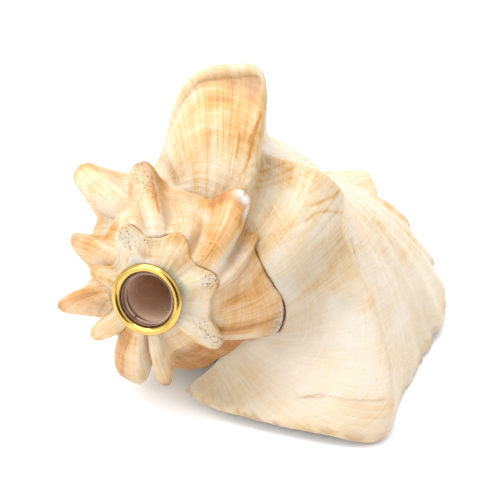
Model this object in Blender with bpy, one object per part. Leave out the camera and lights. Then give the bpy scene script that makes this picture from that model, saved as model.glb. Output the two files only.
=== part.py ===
"""Conch shell horn: one spiral shell with a brass mouthpiece ring on its cut spire, lying on its opening."""
import math

import bmesh
import bpy
import numpy as np

# Sizes below are in millimetres and turns in degrees; the model is in metres.
MM = 0.001

# Resting pose: tilt of the shell's axis and the centre of the mouthpiece above the table
AXIS_TILT = 20.0
MOUTH_AT = (-22.9, -98.1, 69.4)

# Whorls: the turn runs clockwise seen from the mouthpiece and grows towards the lip
FIRST_TURN = -150.0
FLARE_TURN = 762.0
LAST_TURN = 839.0
SHOULDER_RADIUS = [(-220, 16), (-140, 18.5), (-60, 21), (0, 26), (40, 24.8), (160, 27), (220, 30),
                   (300, 34), (350, 41.5), (415, 43.2), (440, 44.2), (465, 43.5), (485, 40.2), (503, 40),
                   (517, 42.2), (540, 43.2), (620, 44.5), (685, 46.5), (745, 64.5), (770, 69), (794, 69),
                   (812, 73), (825, 82), (834, 98), (840, 115)]
SHOULDER_DEPTH = [(-220, 1), (-140, 2), (40, 6), (220, 14), (400, 23), (540, 36), (660, 42),
                  (745, 50), (770, 55), (794, 64), (812, 66), (825, 65), (834, 57), (840, 45)]
CANAL_DEPTH = [(-220, 30), (220, 85), (480, 125), (540, 150), (660, 180), (745, 198), (840, 212)]
SIDE_PROFILE = [(0, 1.0), (0.12, 1.0), (0.3, 0.93), (0.5, 0.76), (0.7, 0.52), (0.85, 0.30), (1, 0.13)]
BODY_RADIUS = 58.0
BODY_GROWTH = 0.25

# Place across the wall: 0 at the suture, KEEL at the shoulder, 1 at the canal
KEEL = 0.34
RAMP_HOLLOW = 0.2
FLAT_UNDER_KNOB = 20.0

# Suture: the cut spire's seat first, then a share of the older whorl's shoulder. In the flush zones the
# two whorls meet nearly level at a narrow gap: turn, reach, gap depth.
SEAT_RADIUS = 13.0
SEAT_DEPTH = 2.0
COIL_TURN = 190.0
COIL_REACH = 60.0
SUTURE_SHARE = 0.97
SUTURE_SINK = 0.15
FLUSH_ZONES = [(440, 38, 2.4), (22, 76, 0.6)]
FLUSH_SHARE = 0.01
FLUSH_SINK = 0.6
GAP_WIDTH = 0.012

# Knobs on the shoulder: turn, tip radius, tip depth, half width before and after, bluntness, lean.
# Their roots lag behind their tips on the ramp, and the whorl after a buried knob wraps round it.
KNOBS = [(-135, 37, 6, 5.5, 5, 2.6, 0), (-78, 29.5, 3, 4.5, 4, 2.6, 0), (-31, 33, 4, 7, 7, 3.4, 0),
         (18, 31.5, 6, 6, 6, 2.6, 0), (64, 30.5, 8, 6, 6, 2.6, 0), (119, 36.5, 12, 6.5, 5.5, 3, 0),
         (170, 45, 15, 5.5, 4.5, 3, 0), (197, 56, 33, 10.5, 9, 4, 0), (245, 55.5, 22, 6.5, 7, 2, 0),
         (284, 48, 21, 7, 6, 2.8, 0), (339, 55.5, 24, 7.5, 7.5, 3.4, 0), (391.5, 58, 23, 8.5, 8, 3, 0),
         (411, 48, 25, 3, 2.6, 2.2, 0), (464, 51.5, 34, 19, 7, 3, 0), (600, 52, 41, 7, 7, 2.6, 0),
         (661, 67, 44, 8, 11, 3.2, 0), (725, 97, 50, 29, 19, 4, 0.12), (772, 80, 54, 20, 12, 2.2, 0)]
BURIED_KNOBS = (-31, 18, 64, 464)
KNOB_LAG = 20.0
KNOB_ROOT = 0.14
KNOB_ROOT_BLUNTNESS = 1.4
KNOB_ROUNDING = 0.9
ROUNDING_REACH = 8.0

# The largest knob is a tongue with a cupped face: depth of the cup and where it lies on the ramp
TONGUE = 725
TONGUE_REACH = 36.0
CUP_DEPTH = 3.2
CUP_AT = 0.87
CUP_WIDTH_IN = 0.2
CUP_WIDTH_OUT = 0.045

# Lip margin from the spire end to the canal: place across the wall, turn, radius, depth
MARGIN = [(0, 889, 52.4, 34), (0.12, 864, 66, 29), (0.25, 846, 92.7, 31), (0.34, 839, 115, 44),
          (0.42, 836, 110.5, 72), (0.52, 830, 108, 101), (0.60, 825, 107, 115), (0.65, 821.5, 104, 131),
          (0.68, 820, 99, 139.5), (0.705, 819, 91.2, 146), (0.76, 816.5, 87, 157), (0.795, 815, 82, 163),
          (0.82, 814, 73, 168), (0.88, 810, 66, 180.5), (0.905, 808.5, 59.5, 183.5),
          (0.935, 806.5, 54.5, 187), (0.955, 805, 47, 190.5), (0.975, 800, 42, 200), (1, 791, 35, 212.5)]
LATE_TURN = 776.0
LATE_LENGTH = 10.0
LATE_POWER = 2.3
LATE_POWER_AT_SUTURE = 8.0
MARGIN_BLEND = 0.10

# Walls: thickness, the thickened inner lip on the older whorl, and the central pillar
WALL = 4.2
CALLUS = 8.3
CALLUS_TURN = 545.0
CALLUS_REACH = 48.0
CALLUS_DEPTH = 76.0
CALLUS_LENGTH = 26.0
COLUMELLA = [(60, 15), (110, 12.5), (160, 9.5), (190, 5.8), (197, 3.5)]

# Inner spaces as depth and radius: the bore behind the mouthpiece, and the air passage, a coil given
# by turn, distance of its middle from the axis, depth and own radius
BORE = [(-8, 12.3), (5.6, 12.3), (5.6, 11.0), (24, 10.5), (46, 8.0), (50, 0.0)]
TUNNEL = [(200, 6, 42, 6.5), (290, 15, 48, 6.5), (380, 20, 56, 7), (470, 23, 64, 8), (540, 24, 70, 9),
          (600, 27, 74, 9.5)]

# Cut face of the spire: where it stops the shell, and the cutter's size
CUT_FACE = 1.2
CUTTER_RADIUS = 60.0
CUTTER_START = -30.0

# Mouthpiece ring: a rounded rim, flat where it sits SEAT_GAP clear of the cut face, and a short neck
RIM_RADIUS = 14.15
RIM_THICKNESS = 1.9
SEAT_GAP = 0.3
NECK_OUTER = 12.0
NECK_INNER = 11.5
NECK_END = 5.2
NECK_TOP = -0.6
RIM_CLOSE = 0.2
RIM_POINTS = 11
RING_SEGMENTS = 40

# Mesh fineness: turns between slices of the inner whorls, points round a slice, rows of the lip
HOLLOW_TURN = 560.0
OVERLAP_TURN = 12.0
TURN_STEP = 5.0
CORE_POINTS = 36
WALL_POINTS = 60
LIP_ROWS = 24
TUNNEL_ROWS = 34
TUNNEL_POINTS = 10
COLUMELLA_SEGMENTS = 40
CUTTER_SEGMENTS = 32
VOXEL = 1.5
SHELL_TRIANGLES = 7400
TABLE_REACH = 160.0
TABLE_THICKNESS = 60.0
AXIS_MIDDLE = 60.0
AXIS_POINT_RADIUS = 0.01

# Finishes: colour, roughness and metal share
CREAM = (0.80, 0.62, 0.44)
CREAM_ROUGHNESS = 0.42
BRASS = (0.80, 0.58, 0.22)
BRASS_ROUGHNESS = 0.18


def curve(points):
    """Smooth curve through hand-set points that never overshoots: cubic pieces whose slope at each point
    is the harmonic mean of its two neighbours' slopes."""
    xs = np.array([p[0] for p in points], float)
    ys = np.array([p[1] for p in points], float)
    step = np.diff(xs)
    rise = np.diff(ys) / step
    slope = np.zeros_like(ys)
    product = rise[:-1] * rise[1:]
    slope[1:-1] = np.where(product > 0, 2 * product / (rise[:-1] + rise[1:] + 1e-12), 0)
    slope[0] = rise[0]
    slope[-1] = rise[-1]

    def value(x):
        i = np.clip(np.searchsorted(xs, x) - 1, 0, len(step) - 1)
        t = (x - xs[i]) / step[i]
        start = (2 * t ** 3 - 3 * t ** 2 + 1) * ys[i] + (t ** 3 - 2 * t ** 2 + t) * step[i] * slope[i]
        end = (3 * t ** 2 - 2 * t ** 3) * ys[i + 1] + (t ** 3 - t ** 2) * step[i] * slope[i + 1]
        return start + end
    return value


shoulder_radius = curve(SHOULDER_RADIUS)
shoulder_depth = curve(SHOULDER_DEPTH)
canal_depth = curve(CANAL_DEPTH)
side_profile = curve(SIDE_PROFILE)
margin_turn = curve([(m[0], m[1]) for m in MARGIN])
margin_radius = curve([(m[0], m[2]) for m in MARGIN])
margin_depth = curve([(m[0], m[3]) for m in MARGIN])
buried_knobs = [k for k in KNOBS if k[0] in BURIED_KNOBS]
tongue_knob = [k for k in KNOBS if k[0] == TONGUE]


def ease(t):
    """Smooth step: 3 t^2 - 2 t^3 with t held between 0 and 1."""
    t = np.clip(t, 0, 1)
    return t * t * (3 - 2 * t)


def knob_reach(turn, knobs=KNOBS):
    """How far the knobs carry the shoulder outwards and towards the canal: for each knob
    exp(-|s|^bluntness), where s is the distance along the shoulder over the knob's half width."""
    out = np.zeros_like(turn)
    down = np.zeros_like(turn)
    for at, tip_radius, tip_depth, before, after, bluntness, lean in knobs:
        base_radius = shoulder_radius(np.float64(at))
        base_depth = shoulder_depth(np.float64(at))
        along = np.radians(turn - at) * 0.5 * (tip_radius + base_radius)
        s = along / np.where(along < 0, before, after)
        bump = np.exp(-np.abs(s) ** bluntness)
        leaning = 1 + lean * np.clip(s, -1.2, 1.2)
        out = np.maximum(out, bump * (tip_radius - base_radius) * leaning)
        down = down + bump * (tip_depth - base_depth)
    return out, down


def suture(turn, across, knobs):
    """Radius and depth of the line where a whorl sits on the older one."""
    coiled = ease((turn - COIL_TURN) / COIL_REACH)
    wrapped, wrapped_down = knob_reach(turn - 360, buried_knobs if knobs else [])
    older_radius = shoulder_radius(turn - 360) + wrapped
    older_depth = shoulder_depth(turn - 360) + wrapped_down
    flush = 0 * turn
    gap = 0 * turn
    for at, reach, gap_depth in FLUSH_ZONES if knobs else []:
        zone = np.exp(-((turn - 360 - at) / reach) ** 4)
        flush = flush + zone
        gap = gap + zone * (FLUSH_SINK + gap_depth * np.exp(-(across / GAP_WIDTH) ** 2))
    sunk = SUTURE_SINK * older_radius * (1 - flush) + gap
    radius = (1 - coiled) * SEAT_RADIUS + coiled * (SUTURE_SHARE + FLUSH_SHARE * flush) * older_radius
    depth = (1 - coiled) * SEAT_DEPTH + coiled * (older_depth + sunk)
    return radius, depth


def whorl(turn, across, knobs):
    """Radius and depth of the wall: a hollowed ramp from the suture to the shoulder, then the side,
    whose radius is the shoulder's radius times a profile that narrows to the canal."""
    held = np.minimum(turn, LAST_TURN)
    radius = shoulder_radius(held)
    depth = shoulder_depth(held)
    ramp = np.clip(across / KEEL, 0, 1)
    side = np.clip((across - KEEL) / (1 - KEEL), 0, 1)
    lag = KNOB_LAG * ease((turn - COIL_TURN) / COIL_REACH) * (1 - ramp)
    out, down = knob_reach(turn - lag, KNOBS if knobs else [])
    suture_radius, suture_depth = suture(turn, across, knobs)
    cup_width = np.where(ramp > CUP_AT, CUP_WIDTH_OUT, CUP_WIDTH_IN)
    cup = knob_reach(turn, tongue_knob)[0] / TONGUE_REACH * np.exp(-((ramp - CUP_AT) / cup_width) ** 2)
    hollow = RAMP_HOLLOW * radius * ramp * (1 - ramp) * (1 - np.clip(out / FLAT_UNDER_KNOB, 0, 1))
    rounding = 1 + KNOB_ROUNDING * np.clip(out / ROUNDING_REACH, 0, 1)
    ramp_radius = suture_radius + (radius + out - suture_radius) * ramp
    ramp_depth = suture_depth + (depth + down - suture_depth) * ramp ** rounding + hollow + CUP_DEPTH * cup
    under = np.exp(-(side / KNOB_ROOT) ** KNOB_ROOT_BLUNTNESS)
    body_radius = np.where(radius > BODY_RADIUS, BODY_RADIUS + BODY_GROWTH * (radius - BODY_RADIUS), radius)
    side_depth = depth + down * under + (canal_depth(held) - depth) * side
    on_callus = ((turn - CALLUS_TURN) / CALLUS_REACH) ** 2 + ((side_depth - CALLUS_DEPTH) / CALLUS_LENGTH) ** 2
    callus = CALLUS * np.exp(-on_callus)
    side_radius = body_radius * side_profile(side) + (out + radius - body_radius) * under + callus
    on_ramp = across < KEEL
    return np.where(on_ramp, ramp_radius, side_radius), np.where(on_ramp, ramp_depth, side_depth)


def shell_wall(turn, across, knobs=True):
    """Turn, radius and depth of the outer wall; after FLARE_TURN each line across the wall runs on
    to its own point of the lip margin."""
    turn, across = np.broadcast_arrays(turn, across)
    flare = np.clip((turn - FLARE_TURN) / (LAST_TURN - FLARE_TURN), 0, 1)
    end_turn = margin_turn(across)
    turn = np.where(flare > 0, FLARE_TURN + (end_turn - FLARE_TURN) * flare, turn)
    radius, depth = whorl(turn, across, knobs)
    to_spire = 1 - np.clip(across / KEEL, 0, 1)
    power = LATE_POWER + (LATE_POWER_AT_SUTURE - LATE_POWER) * to_spire ** 2
    late = np.clip((turn - LATE_TURN) / np.maximum(end_turn - LATE_TURN, LATE_LENGTH), 0, 1) ** power
    blend = ease((across - KEEL) / MARGIN_BLEND)
    pull = late * (1 - blend) + flare ** 2 * blend
    radius = radius + (margin_radius(across) - radius) * pull
    depth = depth + (margin_depth(across) - depth) * pull
    return turn, radius, depth


def place(turn, radius, depth):
    """Points in metres: the radius turned about the shell's axis, and the depth along the axis, which
    is tilted down towards the canal."""
    tilt = math.radians(AXIS_TILT)
    angle = np.radians(turn)
    side = radius * np.sin(angle)
    rise = radius * np.cos(angle)
    x = MOUTH_AT[0] + side
    y = MOUTH_AT[1] + rise * math.sin(tilt) + depth * math.cos(tilt)
    z = MOUTH_AT[2] + rise * math.cos(tilt) - depth * math.sin(tilt)
    return np.stack([x, y, z], axis=-1) * MM


def tube_faces(rings, points):
    """Quads of a closed tube of equal rings, with a cap at each end."""
    i, j = np.meshgrid(np.arange(rings - 1), np.arange(points), indexing="ij")
    k = (j + 1) % points
    quads = np.stack([i * points + j, i * points + k, (i + 1) * points + k, (i + 1) * points + j], axis=-1)
    caps = [list(range(points - 1, -1, -1)), list(range((rings - 1) * points, rings * points))]
    return quads.reshape(-1, 4).tolist() + caps


def add_mesh(name, points, faces, material=None):
    """A mesh object from points and faces."""
    mesh = bpy.data.meshes.new(name)
    mesh.from_pydata(points.reshape(-1, 3).tolist(), [], faces)
    mesh.update()
    piece = bpy.data.objects.new(name, mesh)
    bpy.context.scene.collection.objects.link(piece)
    if material:
        mesh.materials.append(material)
    return piece


def surface_material(name, colour, roughness, metallic=0.0):
    """A plain surface finish."""
    material = bpy.data.materials.new(name)
    material.use_nodes = True
    finish = material.node_tree.nodes["Principled BSDF"]
    finish.inputs["Base Color"].default_value = (*colour, 1.0)
    finish.inputs["Roughness"].default_value = roughness
    finish.inputs["Metallic"].default_value = metallic
    return material


def spiral_core():
    """The solid inner whorls: each slice runs round the wall and back along the axis."""
    turns = np.arange(FIRST_TURN, HOLLOW_TURN + 1, TURN_STEP)[:, None]
    across = np.linspace(0, 1, CORE_POINTS)[None]
    turn, radius, depth = shell_wall(turns, across)
    points = place(turn, radius, depth)
    top = place(turn[:, :1], radius[:, :1] * 0, depth[:, :1])
    foot = place(turn[:, -1:], radius[:, -1:] * 0, depth[:, -1:])
    slices = np.concatenate([top, points, foot], axis=1)
    return slices, tube_faces(slices.shape[0], slices.shape[1])


def open_wall():
    """The hollow last part: outer wall with knobs, inner wall without, joined at the margin."""
    body_turns = np.arange(HOLLOW_TURN - OVERLAP_TURN, FLARE_TURN, TURN_STEP)
    turns = np.concatenate([body_turns, np.linspace(FLARE_TURN, LAST_TURN, LIP_ROWS)])
    across = np.linspace(0, 1, WALL_POINTS)[None]
    outer = place(*shell_wall(turns[:, None], across))
    plain = place(*shell_wall(turns[:, None], across, knobs=False))
    normal = np.cross(np.gradient(plain, axis=0), np.gradient(plain, axis=1))
    normal = normal / np.linalg.norm(normal, axis=-1, keepdims=True)
    inner = plain - normal * WALL * MM * wall_side(plain, normal)
    slices = np.concatenate([outer, inner[:, ::-1]], axis=1)
    return slices, tube_faces(slices.shape[0], slices.shape[1])


def wall_side(points, normal):
    """Sign that makes the normals point away from the shell's axis."""
    axis = place(np.zeros(1), np.zeros(1), np.full(1, AXIS_MIDDLE))[0]
    middle = points[0, points.shape[1] // 2] - axis
    return 1.0 if float(np.dot(normal[0, points.shape[1] // 2], middle)) > 0 else -1.0


def turned(profile, segments):
    """A solid of revolution about the shell's axis from depth and radius pairs; ends may lie on it."""
    turns = np.linspace(0, 360, segments, endpoint=False)[:, None]
    depth = np.array([p[0] for p in profile])[None]
    radius = np.array([max(p[1], AXIS_POINT_RADIUS) for p in profile])[None]
    rings = place(turns + 0 * radius, radius + 0 * turns, depth + 0 * turns).transpose(1, 0, 2)
    return rings, tube_faces(rings.shape[0], rings.shape[1])


def join(parts):
    """One point list and face list from several closed solids."""
    points = []
    faces = []
    count = 0
    for part_points, part_faces in parts:
        flat = part_points.reshape(-1, 3)
        faces += [[count + v for v in face] for face in part_faces]
        points.append(flat)
        count += len(flat)
    return np.concatenate(points), faces


def face_out(piece):
    """Turns every face outwards."""
    work = bmesh.new()
    work.from_mesh(piece.data)
    bmesh.ops.recalc_face_normals(work, faces=work.faces)
    work.to_mesh(piece.data)
    work.free()


def cut_away(target, cutter):
    """Boolean difference of a closed cutter from the target."""
    face_out(cutter)
    cutter.hide_render = True
    cutter.display_type = "WIRE"
    cut = target.modifiers.new("cut " + cutter.name, "BOOLEAN")
    cut.operation = "DIFFERENCE"
    cut.solver = "EXACT"
    cut.object = cutter


def table_block():
    """Closed box under the surface that the shell rests on; it wears the resting places flat."""
    reach = TABLE_REACH
    corners = [(x, y, z) for z in (-TABLE_THICKNESS, 0) for y in (-reach, reach) for x in (-reach, reach)]
    faces = [[0, 2, 3, 1], [4, 5, 7, 6], [0, 1, 5, 4], [2, 6, 7, 3], [0, 4, 6, 2], [1, 3, 7, 5]]
    return np.array(corners, float) * MM, faces


def tunnel():
    """The air passage: a coil of round sections from the bore to the open last whorl."""
    turns = np.linspace(TUNNEL[0][0], TUNNEL[-1][0], TUNNEL_ROWS)[:, None]
    middle = curve([(t[0], t[1]) for t in TUNNEL])(turns)
    depth = curve([(t[0], t[2]) for t in TUNNEL])(turns)
    width = curve([(t[0], t[3]) for t in TUNNEL])(turns)
    angle = np.linspace(0, 2 * math.pi, TUNNEL_POINTS, endpoint=False)[None]
    rings = place(turns + 0 * angle, middle + width * np.cos(angle), depth + width * np.sin(angle))
    return rings, tube_faces(rings.shape[0], rings.shape[1])


def build_shell():
    """The whole shell fused into one skin, then bored and worn flat where it rests."""
    finish = surface_material("shell cream", CREAM, CREAM_ROUGHNESS)
    points, faces = join([spiral_core(), open_wall(), turned(COLUMELLA, COLUMELLA_SEGMENTS)])
    shell = add_mesh("shell", points, faces, finish)
    face_out(shell)
    fuse = shell.modifiers.new("fuse", "REMESH")
    fuse.mode = "VOXEL"
    fuse.voxel_size = VOXEL * MM
    bpy.context.view_layer.update()
    fused = len(shell.evaluated_get(bpy.context.evaluated_depsgraph_get()).data.polygons) * 2
    thin = shell.modifiers.new("thin out", "DECIMATE")
    thin.ratio = SHELL_TRIANGLES / fused
    thin.use_collapse_triangulate = True
    face_profile = [(CUTTER_START, 0), (CUTTER_START, CUTTER_RADIUS), (CUT_FACE, CUTTER_RADIUS), (CUT_FACE, 0)]
    cut_away(shell, add_mesh("cut face", *turned(face_profile, CUTTER_SEGMENTS)))
    cut_away(shell, add_mesh("bore", *turned(BORE, CUTTER_SEGMENTS)))
    cut_away(shell, add_mesh("passage", *tunnel()))
    cut_away(shell, add_mesh("table wear", *table_block()))
    return shell


def build_ring():
    """The polished ring: a rounded rim, flat where it sits on the cut spire, with a short neck."""
    seat = CUT_FACE - SEAT_GAP
    start = math.asin(seat / RIM_THICKNESS)
    angle = np.linspace(start, -math.pi - RIM_CLOSE, RIM_POINTS)
    rim = [(RIM_RADIUS + RIM_THICKNESS * math.cos(a), RIM_THICKNESS * math.sin(a)) for a in angle]
    neck = [(NECK_INNER, NECK_TOP), (NECK_INNER, NECK_END), (NECK_OUTER, NECK_END), (NECK_OUTER, seat)]
    profile = rim + neck
    turns = np.linspace(0, 360, RING_SEGMENTS, endpoint=False)[:, None]
    radius = np.array([p[0] for p in profile])[None]
    depth = np.array([p[1] for p in profile])[None]
    rings = place(turns + 0 * radius, radius + 0 * turns, depth + 0 * turns)
    count = len(profile)
    i, j = np.meshgrid(np.arange(RING_SEGMENTS), np.arange(count), indexing="ij")
    k = (i + 1) % RING_SEGMENTS
    m = (j + 1) % count
    faces = np.stack([i * count + j, k * count + j, k * count + m, i * count + m], axis=-1).reshape(-1, 4)
    brass = surface_material("polished brass", BRASS, BRASS_ROUGHNESS, 1.0)
    ring = add_mesh("mouthpiece_ring", rings, faces.tolist(), brass)
    face_out(ring)
    return ring


def main():
    for piece in list(bpy.data.objects):
        bpy.data.objects.remove(piece, do_unlink=True)
    build_shell()
    build_ring()


main()
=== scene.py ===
import math

import bpy
import numpy as np
from mathutils import Matrix, Vector


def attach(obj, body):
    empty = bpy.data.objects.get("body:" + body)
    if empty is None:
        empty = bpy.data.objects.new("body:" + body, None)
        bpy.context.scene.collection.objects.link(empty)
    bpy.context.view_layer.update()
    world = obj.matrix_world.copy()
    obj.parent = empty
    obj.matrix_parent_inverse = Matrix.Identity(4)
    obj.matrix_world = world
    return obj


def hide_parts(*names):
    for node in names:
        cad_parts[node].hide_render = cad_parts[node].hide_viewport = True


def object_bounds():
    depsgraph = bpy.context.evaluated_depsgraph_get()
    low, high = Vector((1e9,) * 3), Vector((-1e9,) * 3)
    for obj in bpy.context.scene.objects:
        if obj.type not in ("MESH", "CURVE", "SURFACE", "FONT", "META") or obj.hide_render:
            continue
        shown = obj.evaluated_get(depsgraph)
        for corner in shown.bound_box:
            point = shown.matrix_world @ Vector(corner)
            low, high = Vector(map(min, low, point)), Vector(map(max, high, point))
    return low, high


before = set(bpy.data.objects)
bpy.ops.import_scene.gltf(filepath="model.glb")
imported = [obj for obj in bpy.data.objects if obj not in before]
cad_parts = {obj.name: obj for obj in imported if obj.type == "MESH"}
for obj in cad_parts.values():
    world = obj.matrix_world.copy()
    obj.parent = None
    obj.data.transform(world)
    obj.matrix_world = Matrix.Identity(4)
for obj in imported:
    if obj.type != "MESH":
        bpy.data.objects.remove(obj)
cad_low, cad_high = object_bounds()

# Sizes below are in millimetres and turns in degrees; the model is in metres.
MM = 0.001

# Resting pose: tilt of the shell's axis and the centre of the mouthpiece above the table
AXIS_TILT = 20.0
MOUTH_AT = (-22.9, -98.1, 69.4)

# Whorls: the turn runs clockwise seen from the mouthpiece and grows towards the lip
FIRST_TURN = -150.0
FLARE_TURN = 762.0
LAST_TURN = 839.0
SHOULDER_RADIUS = [(-220, 16), (-140, 18.5), (-60, 21), (0, 26), (40, 24.8), (160, 27), (220, 30),
                   (300, 34), (350, 41.5), (415, 43.2), (440, 44.2), (465, 43.5), (485, 40.2), (503, 40),
                   (517, 42.2), (540, 43.2), (620, 44.5), (685, 46.5), (745, 64.5), (770, 69), (794, 69),
                   (812, 73), (825, 82), (834, 98), (840, 115)]
SHOULDER_DEPTH = [(-220, 1), (-140, 2), (40, 6), (220, 14), (400, 23), (540, 36), (660, 42),
                  (745, 50), (770, 55), (794, 64), (812, 66), (825, 65), (834, 57), (840, 45)]
CANAL_DEPTH = [(-220, 30), (220, 85), (480, 125), (540, 150), (660, 180), (745, 198), (840, 212)]
SIDE_PROFILE = [(0, 1.0), (0.12, 1.0), (0.3, 0.93), (0.5, 0.76), (0.7, 0.52), (0.85, 0.30), (1, 0.13)]
BODY_RADIUS = 58.0
BODY_GROWTH = 0.25

# Place across the wall: 0 at the suture, KEEL at the shoulder, 1 at the canal
KEEL = 0.34
RAMP_HOLLOW = 0.2
FLAT_UNDER_KNOB = 20.0

# Suture: the cut spire's seat first, then a share of the older whorl's shoulder. In the flush zones the
# two whorls meet nearly level at a narrow gap: turn, reach, gap depth.
SEAT_RADIUS = 13.0
SEAT_DEPTH = 2.0
COIL_TURN = 190.0
COIL_REACH = 60.0
SUTURE_SHARE = 0.97
SUTURE_SINK = 0.15
FLUSH_ZONES = [(440, 38, 2.4), (22, 76, 0.6)]
FLUSH_SHARE = 0.01
FLUSH_SINK = 0.6
GAP_WIDTH = 0.012

# Knobs on the shoulder: turn, tip radius, tip depth, half width before and after, bluntness, lean.
# Their roots lag behind their tips on the ramp, and the whorl after a buried knob wraps round it.
KNOBS = [(-135, 37, 6, 5.5, 5, 2.6, 0), (-78, 29.5, 3, 4.5, 4, 2.6, 0), (-31, 33, 4, 7, 7, 3.4, 0),
         (18, 31.5, 6, 6, 6, 2.6, 0), (64, 30.5, 8, 6, 6, 2.6, 0), (119, 36.5, 12, 6.5, 5.5, 3, 0),
         (170, 45, 15, 5.5, 4.5, 3, 0), (197, 56, 33, 10.5, 9, 4, 0), (245, 55.5, 22, 6.5, 7, 2, 0),
         (284, 48, 21, 7, 6, 2.8, 0), (339, 55.5, 24, 7.5, 7.5, 3.4, 0), (391.5, 58, 23, 8.5, 8, 3, 0),
         (411, 48, 25, 3, 2.6, 2.2, 0), (464, 51.5, 34, 19, 7, 3, 0), (600, 52, 41, 7, 7, 2.6, 0),
         (661, 67, 44, 8, 11, 3.2, 0), (725, 97, 50, 29, 19, 4, 0.12), (772, 80, 54, 20, 12, 2.2, 0)]
BURIED_KNOBS = (-31, 18, 64, 464)
KNOB_LAG = 20.0
KNOB_ROOT = 0.14
KNOB_ROOT_BLUNTNESS = 1.4
KNOB_ROUNDING = 0.9
ROUNDING_REACH = 8.0

# The largest knob is a tongue with a cupped face: depth of the cup and where it lies on the ramp
TONGUE = 725
TONGUE_REACH = 36.0
CUP_DEPTH = 3.2
CUP_AT = 0.87
CUP_WIDTH_IN = 0.2
CUP_WIDTH_OUT = 0.045

# Lip margin from the spire end to the canal: place across the wall, turn, radius, depth
MARGIN = [(0, 889, 52.4, 34), (0.12, 864, 66, 29), (0.25, 846, 92.7, 31), (0.34, 839, 115, 44),
          (0.42, 836, 110.5, 72), (0.52, 830, 108, 101), (0.60, 825, 107, 115), (0.65, 821.5, 104, 131),
          (0.68, 820, 99, 139.5), (0.705, 819, 91.2, 146), (0.76, 816.5, 87, 157), (0.795, 815, 82, 163),
          (0.82, 814, 73, 168), (0.88, 810, 66, 180.5), (0.905, 808.5, 59.5, 183.5),
          (0.935, 806.5, 54.5, 187), (0.955, 805, 47, 190.5), (0.975, 800, 42, 200), (1, 791, 35, 212.5)]
LATE_TURN = 776.0
LATE_LENGTH = 10.0
LATE_POWER = 2.3
LATE_POWER_AT_SUTURE = 8.0
MARGIN_BLEND = 0.10

# Walls: thickness, the thickened inner lip on the older whorl, and the bore's radius at each depth
WALL = 4.2
CALLUS = 8.3
CALLUS_TURN = 545.0
CALLUS_REACH = 48.0
CALLUS_DEPTH = 76.0
CALLUS_LENGTH = 26.0
BORE = [(2.0, 12.6), (24, 10.9), (46, 8.4), (130, 8.0)]
BORE_SHARE = 0.8
# BORE_EDGE_DEPTH and BORE_EDGE_FADE: how far down the bore its top edge is painted dark as shade, and the
# fade
BORE_EDGE_DEPTH = 5.8
BORE_EDGE_FADE = 2.5

# Margin of the lip: the turns over which its edge rounds off and its pink lining fades, how thin it gets,
# and its chipped steps: their number across the wall, size in degrees, raggedness, grain and reach
EDGE_ROUND = 2.2
EDGE_THIN = 0.04
LINING_FADE = 7.0
CHIP_STEPS = 17
CHIP_SIZE = 1.7
CHIP_RAGGED = 0.5
CHIP_GRAIN = 0.22
CHIP_REACH = 16.0
WING_ACROSS = (0.40, 0.80)

# Surface relief. Each span of turns has the whorl's radius and breadth there; each kind of relief has its
# height and its spacing along and across the whorl
RELIEF_SPANS = [(-400, 200, 26.0, 62.0), (200, 560, 40.0, 110.0), (560, 1200, 58.0, 235.0)]
SPAN_OVERLAP = 60.0
GROWTH_LINES = (0.13, 2.2, 50.0)
GROWTH_BANDS = (0.22, 8.0, 80.0)
CORDS = (0.08, 50.0, 1.7)
UNEVENNESS = (0.30, 13.0, 13.0)
RIB_HEIGHT = 0.9
RIB_SPACING = 17.0
RIB_TURN = 770.0
RIB_REACH = 50.0
SHOULDER_SOFTENED = 0.045

# Where the pieces of the shell meet: turns, and places across the wall
SPIRE_MEETING = 208.0
MIDDLE_END = 479.0
INNER_END = 566.0
BODY_START = 556.0
SOLID_ACROSS = 0.62
BODY_ACROSS = 0.5
LIP_ACROSS = 0.42

# Mouthpiece ring: the rim, the part of its circle that shows, and the neck
RIM_RADIUS = 14.15
RIM_THICKNESS = 1.9
RIM_ANGLES = (-25.0, 190.0)
RIM_POINTS = 40
RIM_FOOT = (1.2, 0.9)
NECK_INNER = 11.55
NECK_OUTER = 12.0
NECK_START = 0.1
NECK_END = 5.2
NECK_SEAT = 0.7

# Colours as the share of red, green and blue light that each part of the surface sends back
WHITE = (0.46, 0.41, 0.335)
IVORY = (0.445, 0.38, 0.285)
CREAM = (0.44, 0.345, 0.22)
HONEY = (0.425, 0.30, 0.16)
AMBER_PALE = (0.395, 0.243, 0.092)
AMBER = (0.35, 0.182, 0.045)
RUST = (0.29, 0.128, 0.03)
PEACH_TINT = (1.0, 0.91, 0.90)
# VERDIGRIS_SHADOW: green-grey of the painted shadow that the ring casts on the spire, tinted as verdigris
VERDIGRIS_SHADOW = (0.25, 0.27, 0.20)
# BORE_TONE: the bore's wall, lighter than any colour of the shell, painted light deep in the hole.
# BORE_EDGE: its top edge, painted shade
BORE_TONE = (0.74, 0.53, 0.40)
BORE_EDGE = (0.16, 0.085, 0.05)
# UMBER: real brown stains, specks and pits, and also the painted shade in the hollows and under the tongue's
# rim
UMBER = (0.224, 0.099, 0.03)
# DEEP: dark red-brown in the suture gap, partly painted shade
DEEP = (0.15, 0.035, 0.01)
GREY = (0.33, 0.284, 0.205)
CHALK = (0.436, 0.429, 0.409)
PINK = (0.396, 0.178, 0.112)
ROSE = (0.409, 0.238, 0.172)
BRASS = (0.46, 0.30, 0.085)
BRASS_DULL = (0.38, 0.24, 0.06)
# NECK_DARK and NECK_PALE: the two browns of the neck's inner wall
NECK_DARK = (0.11, 0.06, 0.035)
NECK_PALE = (0.20, 0.12, 0.075)
FLOOR_TONES = ((0.93, 0.93, 0.93), (0.94, 0.94, 0.94))

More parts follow.
